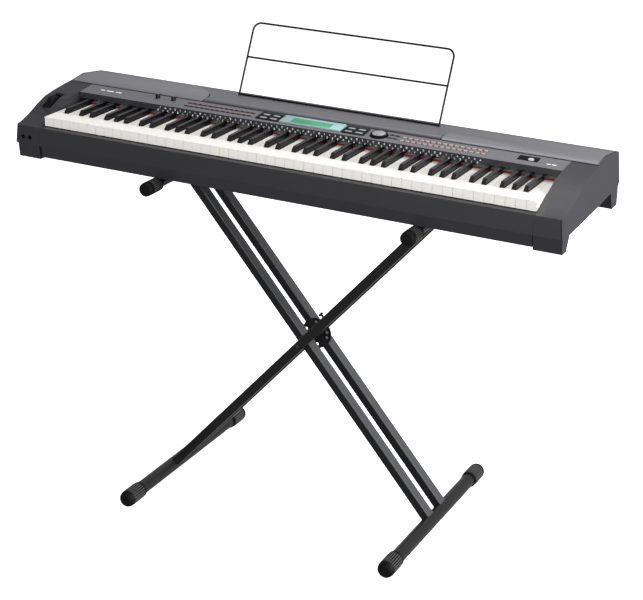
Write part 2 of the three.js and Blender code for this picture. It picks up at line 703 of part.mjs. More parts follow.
const stand = () => {
  const group = new THREE.Group();
  group.add(legFrame("a", -1, [1, 3]), legFrame("b", 1, [0, 2]));
  group.add(endCaps("a", -1), endCaps("b", 1));
  group.add(pivotBolt(), pivotNut(), lockingPlate(), lockPull());
  group.position.set(standX, standY, pivotZ);
  return group;
};

const model = new THREE.Group();
model.add(piano(), stand());

export default model;
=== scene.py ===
import bpy
import bmesh
import json
import math
from mathutils import Matrix, Vector


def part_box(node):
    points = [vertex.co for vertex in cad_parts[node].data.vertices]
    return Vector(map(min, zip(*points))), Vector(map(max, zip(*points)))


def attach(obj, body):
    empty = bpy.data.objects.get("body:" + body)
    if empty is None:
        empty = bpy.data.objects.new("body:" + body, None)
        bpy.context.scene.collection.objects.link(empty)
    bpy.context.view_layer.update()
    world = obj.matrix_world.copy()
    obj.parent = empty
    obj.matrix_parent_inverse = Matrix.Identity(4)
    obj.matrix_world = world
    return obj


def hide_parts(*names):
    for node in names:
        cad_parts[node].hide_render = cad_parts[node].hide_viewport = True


# Digital stage piano on a folding X stand. Metres, +X to the player's right, +Y away from the player, +Z up.
# The dictionaries of sizes are in millimetres, except the camera's and the lamps'.
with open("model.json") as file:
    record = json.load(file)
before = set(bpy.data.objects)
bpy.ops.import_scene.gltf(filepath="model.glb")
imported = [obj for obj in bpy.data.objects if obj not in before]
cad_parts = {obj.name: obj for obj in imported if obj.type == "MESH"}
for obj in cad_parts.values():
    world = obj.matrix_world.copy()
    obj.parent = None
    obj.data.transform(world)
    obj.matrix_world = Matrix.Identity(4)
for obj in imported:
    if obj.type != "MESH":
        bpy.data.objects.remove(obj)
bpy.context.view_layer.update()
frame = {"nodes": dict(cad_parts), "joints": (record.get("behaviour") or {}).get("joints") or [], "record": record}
nodes = frame["nodes"]
joints = {joint["name"]: joint for joint in frame["joints"]}
mm = 0.001
thin = 0.05 * mm  # the radius a lathed shape closes on
scene = bpy.context.scene
scene.view_settings.view_transform = "Standard"
print("frame loaded:", len(nodes), "nodes")

# camera, floor and lights
view = {"place": (1.68858, -3.38082, 1.99954), "turn": 25.781, "down": 21.5835, "roll": -1.6773, "lens": 96.65}
studio = {"floorColour": 0.9, "floorGlow": 0.8, "floorHalf": 45, "worldLight": 0.3}
lamps = {  # place, what it is aimed at, size, watts
    "overheadSoftbox": ((0.2, 1.1, 3.4), (0, 0, 0.8), (3.2, 2.0), 84),
    "rightSoftbox": ((3.4, 0.4, 1.5), (0.4, 0, 0.8), (1.6, 2.2), 240),
    "frontFill": ((0.9, -4.0, 1.7), (0.2, 0, 0.7), (2.6, 2.0), 135),
}


def addCamera():
    data = bpy.data.cameras.new("camera")
    data.lens = view["lens"]
    data.sensor_width = 36
    data.clip_end = 60
    camera = bpy.data.objects.new("camera", data)
    scene.collection.objects.link(camera)
    aim = Matrix.Rotation(math.radians(view["turn"]), 4, "Z")
    aim @= Matrix.Rotation(math.radians(90 - view["down"]), 4, "X")
    aim @= Matrix.Rotation(math.radians(-view["roll"]), 4, "Z")
    camera.matrix_world = Matrix.Translation(view["place"]) @ aim
    scene.camera = camera


def addLight(name, place, target, size, watts):
    data = bpy.data.lights.new(name, "AREA")
    data.shape = "RECTANGLE"
    data.size, data.size_y = size
    data.energy = watts
    lamp = bpy.data.objects.new(name, data)
    scene.collection.objects.link(lamp)
    aim = (Vector(target) - Vector(place)).to_track_quat("-Z", "Y")
    lamp.matrix_world = Matrix.Translation(place) @ aim.to_matrix().to_4x4()


addCamera()
for name, lamp in lamps.items():
    addLight(name, *lamp)
world = bpy.data.worlds.new("studio")
scene.world = world
world.use_nodes = True
backdrop = world.node_tree.nodes["Background"]
backdrop.inputs["Color"].default_value = (1, 1, 1, 1)
backdrop.inputs["Strength"].default_value = studio["worldLight"]
print("camera and lights placed")


class Value:  # a socket that can be used in arithmetic
    def __init__(self, tree, socket):
        self.tree, self.socket = tree, socket

    def maths(self, operation, *others):
        values = {i: other for i, other in enumerate((self, *others))}
        return self.tree.add("ShaderNodeMath", {"operation": operation}, values)

    def __add__(self, other):
        return self.maths("ADD", other)

    def __sub__(self, other):
        return self.maths("SUBTRACT", other)

    def __mul__(self, other):
        return self.maths("MULTIPLY", other)

    def __truediv__(self, other):
        return self.maths("DIVIDE", other)

    def __rsub__(self, other):
        return self.tree.add("ShaderNodeMath", {"operation": "SUBTRACT"}, {0: other, 1: self})

    __radd__, __rmul__ = __add__, __mul__


class Tree:  # adds nodes to a shader or geometry tree
    def __init__(self, nodeTree):
        self.nodeTree = nodeTree

    def add(self, kind, settings=None, values=None, output=0):
        node = self.nodeTree.nodes.new(kind)
        for key, setting in (settings or {}).items():
            setattr(node, key, setting)
        for key, value in (values or {}).items():
            if isinstance(value, Value):
                self.nodeTree.links.new(value.socket, node.inputs[key])
            else:
                node.inputs[key].default_value = value
        return Value(self, node.outputs[output])


class Finish(Tree):  # a material around one Principled shader
    def __init__(self, name, roughness, metallic=0.0, coat=0.0, specular=0.3):
        self.material = bpy.data.materials.new(name)
        self.material.use_nodes = True
        super().__init__(self.material.node_tree)
        self.shader = self.nodeTree.nodes["Principled BSDF"]
        self.shader.inputs["Roughness"].default_value = roughness
        self.shader.inputs["Metallic"].default_value = metallic
        self.shader.inputs["Coat Weight"].default_value = coat
        self.shader.inputs["Specular IOR Level"].default_value = specular
        self.place = self.add("ShaderNodeTexCoord", output=3)

    def noise(self, scale, detail=2.0):
        return self.add("ShaderNodeTexNoise", values={"Vector": self.place, "Scale": scale, "Detail": detail})

    def blendColours(self, share, first, second):
        values = {0: share, 6: first if isinstance(first, Value) else (*first, 1)}
        values[7] = second if isinstance(second, Value) else (*second, 1)
        return self.add("ShaderNodeMix", {"data_type": "RGBA"}, values, output=2)

    def feed(self, socket, value):
        self.nodeTree.links.new(value.socket, self.shader.inputs[socket])

    def relief(self, height, distance):
        values = {"Height": height, "Distance": distance, "Strength": 1.0}
        self.feed("Normal", self.add("ShaderNodeBump", values=values))

    def coordinate(self, axis):
        return self.add("ShaderNodeSeparateXYZ", values={0: self.place}, output="XYZ".index(axis))


def grained(name, colour, roughness, grain=1400.0, depth=0.00004, shade=0.12, coat=0.0, metallic=0.0,
            specular=0.3, paintedSheen=1.0, sheenFrom=0.55, sheenFull=0.98):
    # moulded or coated surface: a fine grain in the relief, a slow drift in colour and gloss
    finish = Finish(name, roughness, metallic, coat, specular)
    drift = finish.noise(9.0, 3.0)
    dark = tuple(c * (1 - shade) for c in colour)
    light = tuple(min(1.0, c * (1 + shade)) for c in colour)
    paint = finish.blendColours(drift, dark, light)
    if paintedSheen != 1.0:  # painted sheen: faces turned upwards are paler, standing in for light falling on them from above
        normal = finish.add("ShaderNodeTexCoord", output=1)
        upward = finish.add("ShaderNodeSeparateXYZ", values={0: normal}, output=2)
        share = finish.add("ShaderNodeMapRange", values={0: upward, 1: sheenFrom, 2: sheenFull})
        sheenColour = tuple(min(1.0, c * paintedSheen) for c in colour)
        paint = finish.blendColours(share, paint, sheenColour)
    finish.feed("Base Color", paint)
    finish.feed("Roughness", finish.noise(40.0, 4.0) * 0.12 + (roughness - 0.06))
    finish.relief(finish.noise(grain, 2.0), depth)
    return finish


def displayGlass():
    # green glass with faint rows of dark segments
    finish = Finish("displayGlass", 0.3)
    x, y = finish.coordinate("X"), finish.coordinate("Y")
    glow = finish.blendColours(finish.noise(30.0), (0.040, 0.26, 0.115), (0.065, 0.31, 0.19))
    columns = (x * 2600.0).maths("SINE").maths("GREATER_THAN", 0.1)
    lines = (y * 1150.0).maths("SINE").maths("GREATER_THAN", 0.35)
    finish.feed("Base Color", finish.blendColours(columns * lines * 0.35, glow, (0.02, 0.16, 0.14)))
    finish.feed("Roughness", finish.noise(200.0) * 0.1 + 0.25)
    finish.relief(finish.noise(600.0), 0.00001)
    return finish


caseColour = (0.023, 0.023, 0.026)
finishes = {
    "case": grained("casePlastic", caseColour, 0.46),
    # the panel's upward faces get painted sheen, up to 4.6 times paler
    "panel": grained("panelPlastic", caseColour, 0.42, paintedSheen=4.6),
    # the cover's pale colour is painted sheen from above, and its upward faces get more painted sheen
    "cover": grained("coverPlastic", (0.088, 0.088, 0.099), 0.34, paintedSheen=1.5),
    # near-black: painted shade in the cover seams, the rear and foot lines and the corner slit; also the dial
    # collar, the power inset and the jack rings
    "inlay": grained("shadowInlay", (0.003, 0.003, 0.003), 0.6, specular=0.05),
    "white": grained("ivoryKey", (0.80, 0.785, 0.75), 0.24, 300.0, 0.00001, 0.015, 0.3),
    # the black keys' upward faces get a painted highlight, up to eleven times paler
    "black": grained("blackKey", (0.0035, 0.0035, 0.004), 0.26, 900.0, 0.00002, 0.10, specular=0.16, paintedSheen=11.0),
    "felt": grained("redFelt", (0.30, 0.012, 0.020), 0.95, 2600.0, 0.0003, 0.25),
    "fitting": grained("blackFitting", (0.005, 0.005, 0.006), 0.34, 1100.0, 0.00002, specular=0.15),
    "silver": grained("silverCap", (0.42, 0.42, 0.43), 0.32, 900.0, 0.00002, 0.05, 0.0, 0.6),
    "button": grained("darkButton", (0.012, 0.010, 0.010), 0.5, 1200.0, 0.00002),
    "paleButton": grained("paleButton", (0.34, 0.30, 0.29), 0.5, 1200.0, 0.00002),
    "padBlack": grained("padBlock", (0.003, 0.003, 0.0035), 0.42, 1200.0, 0.00003, specular=0.08),
    "padGrey": grained("padBar", (0.28, 0.29, 0.30), 0.5, 1200.0, 0.00002),
    "printWhite": grained("whitePrint", (0.80, 0.80, 0.80), 0.6, 2000.0, 0.00001),
    "printRed": grained("redPrint", (0.38, 0.055, 0.045), 0.6, 2000.0, 0.00001),
    "printPink": grained("pinkPrint", (0.36, 0.17, 0.16), 0.6, 2000.0, 0.00001),
    # coated steel: faces turned upwards get painted sheen, up to eight times paler
    "steel": grained("blackCoatedSteel", (0.006, 0.006, 0.0065), 0.3, 650.0, 0.00001, 0.08, 0.1, specular=0.3,
                     paintedSheen=8.0, sheenFrom=0.3, sheenFull=0.62),
    "tube": grained("blackCoatedTube", (0.008, 0.008, 0.0085), 0.22, 650.0, 0.00001, 0.08, 0.3, specular=0.5),
    "wire": grained("glossWire", (0.003, 0.003, 0.0035), 0.22, 500.0, 0.00002, 0.05, specular=0.15),
    "zinc": grained("zincSteel", (0.55, 0.55, 0.57), 0.34, 700.0, 0.00004, 0.06, 0.0, 1.0),
    "rubber": grained("blackRubber", (0.003, 0.003, 0.003), 0.62, 1500.0, 0.00006, 0.15, specular=0.12),
    # rib rubber far paler than the cap rubber: a painted highlight on the ribs
    "rubberRib": grained("wornRubberRib", (0.065, 0.065, 0.066), 0.55, 1500.0, 0.00003, 0.15, specular=0.15),
    "board": grained("circuitBoard", (0.02, 0.16, 0.05), 0.45, 300.0, 0.0001, 0.2),
    "cone": grained("speakerCone", (0.02, 0.02, 0.02), 0.85, 900.0, 0.0002, 0.2),
    "dialCap": grained("greyDialCap", (0.24, 0.24, 0.25), 0.34, 900.0, 0.00002),
    "surround": grained("displaySurround", (0.25, 0.38, 0.38), 0.4, 1500.0, 0.00001, 0.04),
    "lcd": displayGlass(),
}
print("finishes mixed:", len(finishes))


# meshes
def roundEdges(bm, width, segments=2, angle=30, shortest=0.0):
    sharp = []
    for edge in bm.edges:
        turned = len(edge.link_faces) == 2 and edge.calc_face_angle(0) > math.radians(angle)
        if turned and edge.calc_length() > shortest:
            sharp.append(edge)
    bmesh.ops.bevel(bm, geom=sharp, offset=width, segments=segments, profile=0.5, affect="EDGES",
                    clamp_overlap=True)


def makePiece(name, bm, finish, smooth=35):
    bmesh.ops.recalc_face_normals(bm, faces=bm.faces)
    mesh = bpy.data.meshes.new(name)
    bm.to_mesh(mesh)
    bm.free()
    mesh.shade_smooth()
    mesh.set_sharp_from_angle(angle=math.radians(smooth))
    mesh.materials.append(finishes[finish].material)
    piece = bpy.data.objects.new(name, mesh)
    scene.collection.objects.link(piece)
    return piece


def settle(piece, body, slot, *replaced):
    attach(piece, body)
    if replaced:
        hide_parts(*replaced)
    return piece


def bodyOf(node):
    return next(body for body, names in frame["record"]["behaviour"]["bodies"].items() if node in names)


def slotOf(node):
    return next(s["material_slot"] for s in frame["record"]["subparts"] if s["node"] == node)


def softened(name, node, finish, width, segments=2, angle=30, shortest=0.0, smooth=35):
    # a copy of a frame node with its flat faces merged and its edges rounded
    bm = bmesh.new()
    bm.from_mesh(nodes[node].data)
    bmesh.ops.remove_doubles(bm, verts=bm.verts, dist=2e-6)
    bmesh.ops.dissolve_limit(bm, angle_limit=math.radians(0.4), verts=bm.verts, edges=bm.edges)
    if width:
        roundEdges(bm, width, segments, angle, shortest)
    piece = makePiece(name, bm, finish, smooth)
    return settle(piece, bodyOf(node), slotOf(node), node)


def addStack(bm, rings):
    # closed solid through rings of points that all have the same number of corners
    loops = [[bm.verts.new(point) for point in ring] for ring in rings]
    for low, high in zip(loops, loops[1:]):
        for i in range(len(low)):
            j = (i + 1) % len(low)
            bm.faces.new((low[i], low[j], high[j], high[i]))
    bm.faces.new(list(reversed(loops[0])))
    bm.faces.new(loops[-1])


def addBox(bm, low, high):
    corners = [(low[0], low[1]), (high[0], low[1]), (high[0], high[1]), (low[0], high[1])]
    addStack(bm, [[(x, y, z) for x, y in corners] for z in (low[2], high[2])])


def addLathe(bm, profile, place, sides=48):
    # (radius, height) profile turned about the line that place carries the Z axis to
    rings = []
    for radius, height in profile:
        turns = [2 * math.pi * i / sides for i in range(sides)]
        rings.append([place @ Vector((radius * math.cos(t), radius * math.sin(t), height)) for t in turns])
    addStack(bm, rings)


def roundedPlan(width, depth, radius, steps=4):
    points = []
    for corner, (sx, sy) in enumerate(((1, 1), (-1, 1), (-1, -1), (1, -1))):
        for step in range(steps + 1):
            turn = math.pi / 2 * (corner + step / steps)
            x = sx * (width / 2 - radius) + radius * math.cos(turn)
            points.append((x, sy * (depth / 2 - radius) + radius * math.sin(turn)))
    return points


def platePiece(name, width, depth, high, radius, finish, place, edge=0.0002):
    # flat plate with round corners and a softened upper edge, laid by a matrix
    bm = bmesh.new()
    rings = []
    for inset, z in ((0, 0), (0, high - edge), (edge * 0.3, high - edge * 0.3), (edge, high)):
        plan = roundedPlan(width - 2 * inset, depth - 2 * inset, max(radius - inset, 0.00005))
        rings.append([place @ Vector((x, y, z)) for x, y in plan])
    addStack(bm, rings)
    return makePiece(name, bm, finish)


# the sloped panel, from the data dial's axis
panelUp = Vector(joints["dial_turn"]["axis"])
dialPlace = Vector(joints["dial_turn"]["pos_m"])
panelTurn = math.atan2(-panelUp.y, panelUp.z)
keyLow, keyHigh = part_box("key_c")
keyFront, keyTop = keyLow.y, keyHigh.z


def onPanel(x, y, up=0.0):
    # x from the middle and y behind the key fronts, both in mm, on the slope
    world = Vector((x * mm, keyFront + y * mm, 0))
    world.z = dialPlace.z - panelUp.y * (world.y - dialPlace.y) / panelUp.z
    return world + panelUp * up


def panelMatrix(x, y, up=0.0):
    return Matrix.Translation(onPanel(x, y, up)) @ Matrix.Rotation(panelTurn, 4, "X")


# geometry trees
class Recipe(Tree):
    def __init__(self, name):
        super().__init__(bpy.data.node_groups.new(name, "GeometryNodeTree"))
        self.nodeTree.interface.new_socket("Geometry", in_out="OUTPUT", socket_type="NodeSocketGeometry")
        self.enter = self.nodeTree.nodes.new("NodeGroupInput")
        self.identifiers = {}

    def ask(self, name, kind, default=None):
        socket = self.nodeTree.interface.new_socket(name, in_out="INPUT", socket_type="NodeSocket" + kind)
        if default is not None:
            socket.default_value = default
        self.identifiers[name] = socket.identifier
        return Value(self, self.enter.outputs[name])

    def copies(self, shape, points, **values):
        source = self.add("GeometryNodeObjectInfo", values={"Object": shape}, output="Geometry")
        return self.add("GeometryNodeInstanceOnPoints", values={"Points": points, "Instance": source, **values})

    def moved(self, geometry, place, turn):
        values = {"Geometry": geometry, "Translation": place, "Rotation": turn}
        return self.add("GeometryNodeTransform", values=values)

    def end(self, geometry, material):
        realized = self.add("GeometryNodeRealizeInstances", values={0: geometry})
        done = self.add("GeometryNodeSetMaterial", values={"Geometry": realized, "Material": material})
        leave = self.nodeTree.nodes.new("NodeGroupOutput")
        self.nodeTree.links.new(done.socket, leave.inputs[0])

    def grow(self, name, values, start=None, smooth=35):
        # runs the tree and keeps its result as one plain mesh
        piece = bpy.data.objects.new(name, start or bpy.data.meshes.new(name + "Start"))
        scene.collection.objects.link(piece)
        modifier = piece.modifiers.new("grow", "NODES")
        modifier.node_group = self.nodeTree
        for key, value in values.items():
            modifier[self.identifiers[key]] = value
        shapes = bpy.context.evaluated_depsgraph_get()
        mesh = bpy.data.meshes.new_from_object(piece.evaluated_get(shapes))
        piece.modifiers.clear()
        piece.data = mesh
        mesh.name = name
        mesh.shade_smooth()
        mesh.set_sharp_from_angle(angle=math.radians(smooth))
        return piece


def rowsRecipe():
    # copies of a shape in rows, each row shifted, the whole field laid on a slope
    recipe = Recipe("rowsOfShapes")
    shape = recipe.ask("Shape", "Object")
    columns = recipe.ask("Columns", "Int", 10)
    rows = recipe.ask("Rows", "Int", 1)
    pitch = recipe.ask("Pitch", "Float", 0.01)
    rowPitch = recipe.ask("Row pitch", "Float", 0.01)
    shift = recipe.ask("Row shift", "Float", 0.0)
    smallest = recipe.ask("Smallest", "Float", 1.0)
    oval = recipe.ask("Oval", "Float", 0.0)
    seed = recipe.ask("Seed", "Int", 1)
    place = recipe.ask("Place", "Vector")
    turn = recipe.ask("Turn", "Vector")
    material = recipe.ask("Material", "Material")
    points = recipe.add("GeometryNodePoints", values={"Count": columns * rows})
    index = recipe.add("GeometryNodeInputIndex")
    row = (index / columns).maths("FLOOR")
    column = index - row * columns
    x = column * pitch + row * shift - columns * pitch * 0.5
    y = row * rowPitch - rows * rowPitch * 0.5
    spot = recipe.add("ShaderNodeCombineXYZ", values={0: x, 1: y})
    spread = recipe.add("GeometryNodeSetPosition", values={"Geometry": points, "Position": spot})
    across = x * 2 / (columns * pitch)
    along = y * 2 / (rows * rowPitch)
    outside = (across * across + along * along) * oval
    off = outside.maths("GREATER_THAN", 1.0)
    kept = recipe.add("GeometryNodeDeleteGeometry", values={"Geometry": spread, "Selection": off})
    size = recipe.add("FunctionNodeRandomValue", {"data_type": "FLOAT"},
                      {"Min": smallest, "Max": 1.0, "Seed": seed}, output=1)
    recipe.end(recipe.moved(recipe.copies(shape, kept, Scale=size), place, turn), material)
    return recipe


def spotsRecipe():
    # one copy of a shape at every corner of the starting mesh
    recipe = Recipe("shapesAtSpots")
    recipe.nodeTree.interface.new_socket("Spots", in_out="INPUT", socket_type="NodeSocketGeometry")
    shape = recipe.ask("Shape", "Object")
    material = recipe.ask("Material", "Material")
    turn = recipe.ask("Turn", "Vector")
    spots = Value(recipe, recipe.enter.outputs["Spots"])
    recipe.end(recipe.copies(shape, spots, Rotation=turn), material)
    return recipe


def ribsRecipe():
    # copies of a rib turned about the Z axis, and the whole ring turned and moved to its place
    recipe = Recipe("ribsAround")
    shape = recipe.ask("Shape", "Object")
    count = recipe.ask("Count", "Int", 24)
    place = recipe.ask("Place", "Vector")
    turn = recipe.ask("Turn", "Vector")
    material = recipe.ask("Material", "Material")
    points = recipe.add("GeometryNodePoints", values={"Count": count})
    around = recipe.add("GeometryNodeInputIndex") * (2 * math.pi) / count
    lean = recipe.add("ShaderNodeCombineXYZ", values={2: around})
    recipe.end(recipe.moved(recipe.copies(shape, points, Rotation=lean), place, turn), material)
    return recipe


rowsOf, atSpots, ribsAround = rowsRecipe(), spotsRecipe(), ribsRecipe()


def pattern(piece):
    # a shape that is only copied: it leaves the scene once its copies are made
    scene.collection.objects.unlink(piece)
    return piece


def spotMesh(name, places):
    mesh = bpy.data.meshes.new(name)
    mesh.from_pydata([tuple(p) for p in places], [], [])
    return mesh


def finishOf(name):
    return finishes[name].material


def addRibs(bm, sections, count, place, finish):
    # one rib through its cross sections, copied round the line that place carries the Z axis to
    single = bmesh.new()
    addStack(single, sections)
    rib = pattern(makePiece("ribShape", single, finish))
    values = {"Shape": rib, "Count": count, "Place": place.translation, "Turn": tuple(place.to_euler()),
              "Material": finishOf(finish)}
    ring = ribsAround.grow("ribRing", values)
    bm.from_mesh(ring.data)
    bpy.data.objects.remove(ring)


# keys
keys = {"pitch": 23.5, "gap": 0.6, "thick": 22, "lip": 3.2, "lipRound": 0.6, "lipDeep": 0.9, "edge": 0.45,
        "notch": 49, "slotHalf": 6.3, "slotEnd": 162, "end": 215, "count": 52, "octave": 23, "firstC": 2}
spine = {"inset": 1, "front": 167, "rear": 214, "low": 21, "high": 1}  # the bar that joins a comb of keys
sharps = {"half": 5.2, "riseHalf": 4.85, "topHalf": 4.3, "front": 50, "rise": 4, "slant": 7.5, "high": 12,
          "deep": 12, "end": 150.6, "edge": 0.9, "shift": {0: -2.55, 1: 2.55, 3: -3.35, 4: 0, 5: 3.35}}
noteNames = ("c", "d", "e", "f", "g", "a", "b")
sharpNames = {0: "c_sharp", 1: "d_sharp", 3: "f_sharp", 4: "g_sharp", 5: "a_sharp"}


def keyEdge(index):
    return (index - keys["count"] / 2) * keys["pitch"]


def sharpCentre(index):
    # middle of the black key after a white one, or None
    shift = sharps["shift"].get((index - keys["firstC"]) % len(noteNames))
    if shift is None or not 0 <= index < keys["count"] - 1:
        return None
    return keyEdge(index + 1) + shift


def addWhiteKey(bm, index):
    left, right = keyEdge(index) + keys["gap"] / 2, keyEdge(index + 1) - keys["gap"] / 2
    notch, slotEnd = keys["notch"], keys["slotEnd"]
    plan = [(left, keys["end"])]
    before, after = sharpCentre(index - 1), sharpCentre(index)
    if before is not None:
        side = before + keys["slotHalf"]
        plan += [(left, slotEnd), (side, slotEnd), (side, notch), (left, notch)]
    plan += [(left, 0), (right, 0)]
    if after is not None:
        side = after - keys["slotHalf"]
        plan += [(right, notch), (side, notch), (side, slotEnd), (right, slotEnd)]
    plan.append((right, keys["end"]))
    rings = []
    lip, lipDeep = keys["lip"], keys["lipDeep"]
    for z, back in ((-keys["thick"], lipDeep), (-lip - keys["lipRound"], lipDeep), (-lip, 0), (0, 0)):
        ring = [(x, back if y == 0 else y) for x, y in plan]
        rings.append([Vector((x * mm, keyFront + y * mm, keyTop + z * mm)) for x, y in ring])
    addStack(bm, rings)


def whiteKeys(name, first, last):
    bm = bmesh.new()
    for index in range(first, last + 1):
        single = bmesh.new()
        addWhiteKey(single, index)
        roundEdges(single, keys["edge"] * mm, 2, 40)
        joined = bpy.data.meshes.new("whiteKey")
        single.to_mesh(joined)
        single.free()
        bm.from_mesh(joined)
        bpy.data.meshes.remove(joined)
    if last > first:
        left, right = keyEdge(first) + spine["inset"], keyEdge(last + 1) - spine["inset"]
        addBox(bm, (left * mm, keyFront + spine["front"] * mm, keyTop - spine["low"] * mm),
               (right * mm, keyFront + spine["rear"] * mm, keyTop - spine["high"] * mm))
    settle(makePiece(name.replace("_", "") + "Ivory", bm, "white"), bodyOf(name), slotOf(name), name)


def sharpShape():
    bm = bmesh.new()
    long = sharps["end"] - sharps["front"]
    rings = []
    levels = ((-sharps["deep"], sharps["half"], 0), (sharps["rise"], sharps["riseHalf"], 0),
              (sharps["high"], sharps["topHalf"], sharps["slant"]))
    for z, half, back in levels:
        plan = ((-half, back), (half, back), (half, long), (-half, long))
        rings.append([(x * mm, y * mm, z * mm) for x, y in plan])
    addStack(bm, rings)
    roundEdges(bm, sharps["edge"] * mm, 3, 20)
    tail = (keys["end"] - sharps["front"]) * mm  # the thin bar behind, under the panel
    addBox(bm, (-4 * mm, (long - 3) * mm, 5.5 * mm), (4 * mm, tail, 9.8 * mm))
    return pattern(makePiece("sharpShape", bm, "black"))


def blackKeys(name, first, last, shape):
    centres = [sharpCentre(i) for i in range(first, last + 1) if sharpCentre(i) is not None]
    places = [(x * mm, keyFront + sharps["front"] * mm, keyTop) for x in centres]
    values = {"Shape": shape, "Material": finishOf("black")}
    piece = atSpots.grow(name.replace("_", "") + "Ebony", values, spotMesh(name + "Spots", places))
    settle(piece, bodyOf(name), slotOf(name), name)


sharpPattern = sharpShape()
octave, beyond = keys["octave"], keys["octave"] + len(noteNames)  # the single keys' first, and the next after them
whiteKeys("white_keys_low", 0, octave - 1)
whiteKeys("white_keys_high", beyond, keys["count"] - 1)
blackKeys("black_keys_low", 0, octave - 1, sharpPattern)
blackKeys("black_keys_high", beyond, keys["count"] - 1, sharpPattern)
for i, note in enumerate(noteNames):
    whiteKeys("key_" + note, octave + i, octave + i)
for i, note in sharpNames.items():
    blackKeys("key_" + note, octave + i, octave + i, sharpPattern)
softened("feltRunner", "felt_strip", "felt", 0.4 * mm)
print("keyboard made")


# case
shells = (  # piece, frame node, rounding of its edges, finish
    ("bottomTray", "bottom_case", 0.6, "case"),
    ("frontApron", "front_rail", 0.4, "case"),
    ("rearWall", "rear_panel", 0.8, "case"),
    ("leftCheekShell", "left_cheek", 0.6, "case"),
    ("rightCheekShell", "right_cheek", 0.6, "case"),
    ("panelShell", "control_panel", 0.0, "panel"),
    ("leftCoverShell", "left_speaker_cover", 1.2, "cover"),
    ("rightCoverShell", "right_speaker_cover", 1.2, "cover"),
    ("keyChannel", "key_frame", 0.4, "zinc"),
    ("mainBoard", "main_board", 0.2, "board"),
    ("leftSpeakerCone", "left_speaker", 0.0, "cone"),
    ("rightSpeakerCone", "right_speaker", 0.0, "cone"),
    ("jackSockets", "headphone_jacks", 0.3, "fitting"),
    ("inletSocket", "power_inlet", 0.3, "fitting"),
)
for name, node, width, finish in shells:
    smooth = 9 if finish == "case" else 22  # the case keeps its shallow creases
    softened(name, node, finish, width * mm, 2, 25, width * 2.5 * mm, smooth)
print("case made")

# stand
for node in ("leg_a_front", "leg_a_rear", "leg_b_front", "leg_b_rear", "locking_plate"):
    softened(node.replace("_", "") + "Coated", node, "steel", 0.0, smooth=8)
for node in ("top_bar_a", "top_bar_b", "foot_tube_a", "foot_tube_b"):
    softened(node.replace("_", "") + "Coated", node, "tube", 0.0, smooth=30)
for node, finish in (("pivot_bolt", "steel"), ("pivot_nut", "steel"), ("lock_knob", "fitting")):
    softened(node.replace("_", "") + "Turned", node, finish, 0.6 * mm, 2, 40, smooth=50)

caps = {"sides": 56, "end": 3.2, "bore": 0.3, "lip": 0.8, "ribs": 22, "ribHalf": 1.5, "ribCrown": 0.6,
        "ribProud": 1.2, "ribRoot": 3, "ribFront": (6, 8), "ribBack": (18, 14)}
# outlines: the mouth's inset and length, then insets from the full radius at distances back from the closed end
sleeveLine = {"mouth": (0.8, 1), "insets": ((0.8, 20), (0, 19.4), (0, 8), (0.8, 7.4), (0.8, 2), (2.2, 0.2),
                                            (5.5, 0), (5.8, 0.8), (9.5, 0.8))}
footLine = {"mouth": (1.2, 2), "insets": ((1.2, 14), (0, 13.4), (0.2, 12), (1.6, 6), (4.8, 2), (7.6, 0.4),
                                          (8.4, 0.9), (11, 0.9), (11.6, 0.2))}


def towardsEnd(node):
    # the matrix from a sleeve's or cap's open mouth to its closed end, its length, its radius and its tube's
    low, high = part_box(node)
    front = node.endswith("front")
    tube = node.replace("sleeve", "top_bar").replace("foot_cap", "foot_tube")
    tubeLow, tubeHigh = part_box(tube[:tube.rindex("_")])
    middle = Vector(((low.x + high.x) / 2, high.y if front else low.y, (tubeLow.z + tubeHigh.z) / 2))
    turn = Matrix.Rotation(math.radians(90 if front else -90), 4, "X")
    place = Matrix.Translation(middle) @ turn
    return place, high.y - low.y, (high.x - low.x) / 2, (tubeHigh.z - tubeLow.z) / 2


def capPiece(node, outline):
    place, long, radius, tubeRadius = towardsEnd(node)
    bore, end = tubeRadius + caps["bore"] * mm, long - caps["end"] * mm
    mouthInset, mouthLong = outline["mouth"]
    shape = [(thin, end), (bore, end), (bore, 0), (radius - caps["lip"] * mm, 0)]
    shape.append((radius - mouthInset * mm, mouthLong * mm))
    shape += [(radius - inset * mm, long - back * mm) for inset, back in outline["insets"]] + [(thin, long)]
    bm = bmesh.new()
    addLathe(bm, shape, place, caps["sides"])
    moulded = len(bm.faces)
    half, root, proud = caps["ribHalf"] * mm, radius - caps["ribRoot"] * mm, radius - caps["ribProud"] * mm
    crown = half * caps["ribCrown"]
    start, rise = (at * mm for at in caps["ribFront"])
    fall, stop = (long - at * mm for at in caps["ribBack"])
    sections = []
    for height, top in ((start, proud), (rise, radius), (fall, radius), (stop, proud)):
        sections.append([(x, y, height) for x, y in ((root, -half), (top, -crown), (top, crown), (root, half))])
    addRibs(bm, sections, caps["ribs"], place, "rubberRib")
    # the rib faces take the second, paler rubber: their painted highlight
    bm.faces.ensure_lookup_table()
    for face in bm.faces[moulded:]:
        face.material_index = 1
    for vert in bm.verts:  # flat where it stands on the floor
        vert.co.z = max(vert.co.z, 0.0)
    cap = makePiece(node.replace("_", "") + "Moulded", bm, "rubber", 40)
    cap.data.materials.append(finishOf("rubberRib"))
    settle(cap, bodyOf(node), slotOf(node), node)


for letter in ("a", "b"):
    for end in ("front", "rear"):
        capPiece("sleeve_%s_%s" % (letter, end), sleeveLine)
        capPiece("foot_cap_%s_%s" % (letter, end), footLine)
print("stand made")


